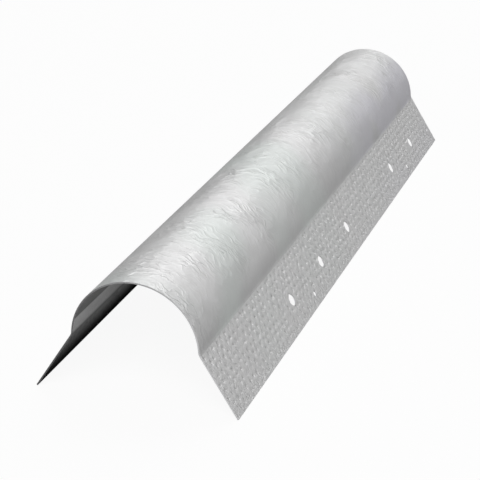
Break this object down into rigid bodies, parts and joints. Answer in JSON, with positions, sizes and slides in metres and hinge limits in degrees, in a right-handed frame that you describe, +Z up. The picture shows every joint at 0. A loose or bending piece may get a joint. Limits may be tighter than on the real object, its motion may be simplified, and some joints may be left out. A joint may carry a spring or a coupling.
{
  "type": "bullnose drywall corner bead",
  "caption": "Galvanised sheet corner bead for plasterboard: a half-round nose between flat, punched nailing flanges that straddle an outside wall corner.",
  "frame": {"origin": "on the floor, under the middle of the bead's length and midway between its flange edges", "axes": "+Y along the bead, +Z up through the crown of the nose, +X across from one flange to the other"},
  "size_m": [0.0608, 0.254, 0.0365],
  "materials": {
    "galvanised_steel": "satin zinc coating, smooth and streaked on the nose, knurled on the flanges"
  },
  "bodies": {
    "root": {"bullnose_corner_bead": "galvanised_steel"}
  },
  "joints": []
}
